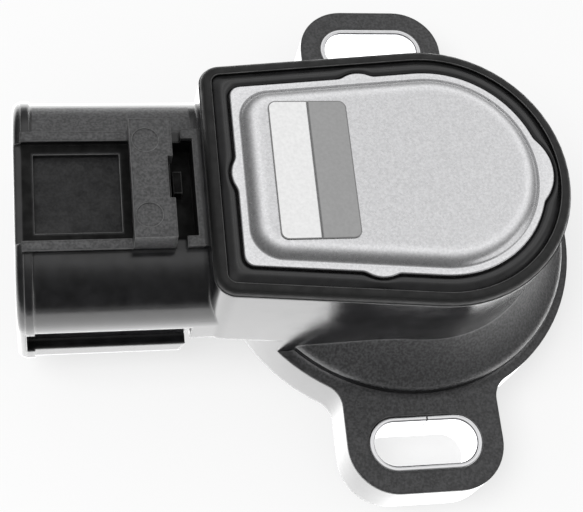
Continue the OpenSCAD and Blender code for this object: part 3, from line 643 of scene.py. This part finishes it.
def make_film(name, x0, x1, radii, face):
    """One field of the label; its radii go from the lower right corner round."""
    foot_z, top_z = zone("label")
    inner_radii = [max(FILM_LEAST_R, r - FILM_LINE) for r in radii]
    rings = []
    for inset, ring_radii, z in ((0, radii, foot_z), (0, radii, top_z - FILM_SOFT),
                                 (FILM_SOFT, radii, top_z), (FILM_LINE, inner_radii, top_z)):
        shape = rounded_rectangle(x0, x1, LABEL_L / 2, inset, ring_radii)
        rings.append([(*p, z) for p in shape])
    points, faces = loft(rings)
    indices = [1] * len(faces)
    indices[-1] = 0
    piece = add_mesh(name, points, faces, [face, FILM_EDGE], indices)
    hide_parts("label")


def make_label():
    x0 = -END_REACH + LABEL_INSET
    split, x1 = x0 + LABEL_SPLIT, x0 + LABEL_W
    tight, round_r = (FILM_TIGHT_R, FILM_TIGHT_R), (LABEL_CORNER_R, LABEL_CORNER_R)
    make_film("label_light_field", x0, split - FILM_GAP, tight + round_r, FILM_LIGHT)
    make_film("label_dark_field", split + FILM_GAP, x1, round_r + tight, FILM_DARK)


# Slot bushes: strip rolled to an oval, with rounded ends and an open seam
TURN_STEPS, SIDE_STEPS = 26, 3
BUSH_END_R, BUSH_LOW = 0.2, 0.05


def oval(half_l, half_w):
    """Points and normals round an oval along X, from one side of the seam to the other."""
    straight = half_l - half_w
    start, end = BUSH_SEAM_X + BUSH_SEAM, BUSH_SEAM_X
    run = [((start + (straight - start) * i / SIDE_STEPS, half_w), (0, 1))
           for i in range(SIDE_STEPS)]
    for cx, first in ((straight, 90), (-straight, -90)):
        for step in range(TURN_STEPS + 1):
            a = math.radians(first - 180 * step / TURN_STEPS)
            n = (math.cos(a), math.sin(a))
            run.append(((cx + half_w * n[0], half_w * n[1]), n))
        if cx > 0:
            run += [((straight * (1 - i / SIDE_STEPS), -half_w), (0, -1))
                    for i in range(1, 2 * SIDE_STEPS)]
    run += [((-straight + (straight + end) * i / SIDE_STEPS, half_w), (0, 1))
            for i in range(1, SIDE_STEPS + 1)]
    return run


def make_bush(name, node, y, toward):
    """toward is the side of the seam, which faces the shaft: 1 up, -1 down."""
    foot_z, top_z = zone(node)
    r, low = BUSH_END_R, BUSH_LOW

    def end(a):
        return r * (1 - math.cos(math.radians(a))), top_z - r + r * math.sin(math.radians(a))

    section = [(0, foot_z + low)] + [end(a) for a in (0, 30, 60, 90)]
    section += [(BUSH_T - out, z) for out, z in (end(a) for a in (90, 60, 30, 0))]
    section += [(BUSH_T, foot_z + low), (BUSH_T - low, foot_z), (low, foot_z)]
    rings = [[(px + nx * out, y + toward * (py + ny * out), z) for out, z in section]
             for (px, py), (nx, ny) in oval(SLOT_L / 2, SLOT_W / 2)]
    points, faces = loft(rings)
    if toward > 0:
        faces = [f[::-1] for f in faces]
    bush = add_mesh(name, points, faces, [STEEL])
    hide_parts(node)


make_cover()
make_sealant()
make_label()
make_bush("bush_lower", "slot_bush_lower", -SLOT_PITCH, 1)
make_bush("bush_upper", "slot_bush_upper", SLOT_PITCH, -1)


# Floor, world, cards and lamps
def mix_of(nodes, links, factor, a, b):
    mix = nodes.new("ShaderNodeMixShader")
    for i, value in enumerate((factor, a, b)):
        links.new(value, mix.inputs[i])
    return mix.outputs[0]


def seen_directly(nodes, links):
    """1 for rays from the camera, and for rays mirrored or passed by a shiny surface."""
    path = nodes.new("ShaderNodeLightPath")
    seen = path.outputs["Is Camera Ray"]
    for kind in ("Is Glossy Ray", "Is Transmission Ray"):
        either = nodes.new("ShaderNodeMath")
        either.operation = "MAXIMUM"
        links.new(seen, either.inputs[0])
        links.new(path.outputs[kind], either.inputs[1])
        seen = either.outputs[0]
    return seen


def blank_material(name):
    """A material with nothing but its output, and its nodes, links and surface socket."""
    mat = bpy.data.materials.new(name)
    mat.use_nodes = True
    nodes, links = mat.node_tree.nodes, mat.node_tree.links
    nodes.clear()
    return mat, nodes, links, nodes.new("ShaderNodeOutputMaterial").inputs[0]


def make_floor():
    bpy.ops.mesh.primitive_plane_add(size=FLOOR_SIZE, location=(0, 0, cad_box[0][2]))
    floor = bpy.context.object
    floor.name = "floor"
    mat, nodes, links, out = blank_material("floor_paper")
    diffuse = nodes.new("ShaderNodeBsdfDiffuse")
    diffuse.inputs["Color"].default_value = (FLOOR_GREY, FLOOR_GREY, FLOOR_GREY, 1)
    glow = nodes.new("ShaderNodeEmission")
    glow.inputs["Color"].default_value = WHITE
    glow.inputs["Strength"].default_value = 1.0
    share = nodes.new("ShaderNodeMath")
    share.operation = "MULTIPLY"
    share.inputs[1].default_value = FLOOR_GLOW
    links.new(seen_directly(nodes, links), share.inputs[0])
    links.new(mix_of(nodes, links, share.outputs[0], diffuse.outputs[0], glow.outputs[0]), out)
    floor.data.materials.append(mat)


def make_world():
    world = bpy.data.worlds.new("studio")
    bpy.context.scene.world = world
    world.use_nodes = True
    nodes, links = world.node_tree.nodes, world.node_tree.links
    nodes.clear()
    out = nodes.new("ShaderNodeOutputWorld")
    light = nodes.new("ShaderNodeBackground")
    light.inputs["Color"].default_value = WHITE
    light.inputs["Strength"].default_value = AMBIENT
    white = nodes.new("ShaderNodeBackground")
    white.inputs["Color"].default_value = WHITE
    links.new(mix_of(nodes, links, seen_directly(nodes, links), light.outputs[0], white.outputs[0]),
              out.inputs[0])


def on_dome(radius, azimuth, up):
    """A place on a dome round the object, by its bearing and height in degrees."""
    a, e = math.radians(azimuth), math.radians(up)
    return (radius * math.cos(e) * math.cos(a), radius * math.cos(e) * math.sin(a),
            radius * math.sin(e))


def add_card(name, paper, points, faces, strength):
    """A glowing card that only gloss sees, and its nodes, links and emission."""
    mesh = bpy.data.meshes.new(name)
    mesh.from_pydata(points, [], faces)
    card = bpy.data.objects.new(name, mesh)
    bpy.context.scene.collection.objects.link(card)
    mat, nodes, links, out = blank_material(paper)
    glow = nodes.new("ShaderNodeEmission")
    glow.inputs["Strength"].default_value = strength
    links.new(glow.outputs[0], out)
    mesh.materials.append(mat)
    card.visible_camera = False
    card.visible_diffuse = False
    card.visible_shadow = False
    card.visible_transmission = False
    return card, nodes, links, glow


def make_cards():
    """A tent of card: bright in a ring high above, dark in its middle and towards the horizon."""
    points, faces = [(0, 0, CARD_RADIUS)], []
    for i in range(1, CARD_ROWS + 1):
        up = 90 + (CARD_LOW - 90) * i / CARD_ROWS
        points += [on_dome(CARD_RADIUS, 360 * j / CARD_SIDES, up) for j in range(CARD_SIDES)]
    for j in range(CARD_SIDES):
        k = (j + 1) % CARD_SIDES
        faces.append((0, 1 + j, 1 + k))
        for i in range(CARD_ROWS - 1):
            low = 1 + i * CARD_SIDES
            faces.append((low + j, low + CARD_SIDES + j, low + CARD_SIDES + k, low + k))
    cards, nodes, links, glow = add_card("cards", "card_paper", points, faces, CARD_STRENGTH)
    where = nodes.new("ShaderNodeTexCoord")
    facing = nodes.new("ShaderNodeVectorMath")
    facing.operation = "DOT_PRODUCT"
    facing.inputs[1].default_value = [c / CARD_RADIUS for c in Vector(CARD_MIDDLE).normalized()]
    tone = nodes.new("ShaderNodeValToRGB")
    fill_ramp(tone, [(math.cos(math.radians(angle)), level) for angle, level in reversed(CARD_TONES)])
    links.new(where.outputs["Object"], facing.inputs[0])
    links.new(facing.outputs["Value"], tone.inputs["Fac"])
    links.new(tone.outputs["Color"], glow.inputs["Color"])


def make_side_card():
    """A pale card low down beside the object, for the sheen of the shoulder."""
    points = [on_dome(SIDE_CARD_AT, azimuth, up)
              for azimuth in SIDE_CARD_AZIMUTH for up in SIDE_CARD_UP]
    card = add_card("side_card", "side_card_paper", points, [(0, 1, 3, 2)], SIDE_CARD_LIGHT)[0]


def make_lamp(name, place, aim, size, power):
    data = bpy.data.lights.new(name, "AREA")
    data.shape = "RECTANGLE"
    data.size, data.size_y = size
    data.energy = power
    lamp = bpy.data.objects.new(name, data)
    bpy.context.scene.collection.objects.link(lamp)
    lamp.location = place
    lamp.rotation_euler = (Vector(aim) - Vector(place)).to_track_quat("-Z", "Y").to_euler()
    lamp.visible_camera = False
    return lamp


def make_light_table():
    """A lamp that lies on the floor and shines up at the sides of the object."""
    z = cad_box[0][2] + TABLE_GAP
    power = TABLE_LIGHT * math.pi * TABLE_SIZE * TABLE_SIZE
    make_lamp("light_table", (0, 0, z), (0, 0, 1), (TABLE_SIZE, TABLE_SIZE), power)


def make_key():
    """A soft lamp for what isn't glossy; gloss sees the cards in its place."""
    make_lamp("key", KEY_PLACE, KEY_AIM, KEY_SIZE, KEY_POWER).visible_glossy = False


def make_camera():
    data = bpy.data.cameras.new("camera")
    data.sensor_fit = "HORIZONTAL"
    data.sensor_width = SENSOR_MM
    data.lens = FOCAL_PX * SENSOR_MM / IMAGE_W
    data.clip_start, data.clip_end = CAMERA_CLIP
    camera = bpy.data.objects.new("camera", data)
    bpy.context.scene.collection.objects.link(camera)
    turn = Euler(CAMERA_TURN, "XYZ").to_matrix().transposed()
    place = -(turn @ Vector(CAMERA_OFFSET)) * MM
    camera.matrix_world = Matrix.Translation(place) @ turn.to_4x4()
    bpy.context.scene.camera = camera


make_floor()
make_world()
make_cards()
make_side_card()
make_light_table()
make_key()
make_camera()
bpy.context.scene.view_settings.view_transform = "Standard"
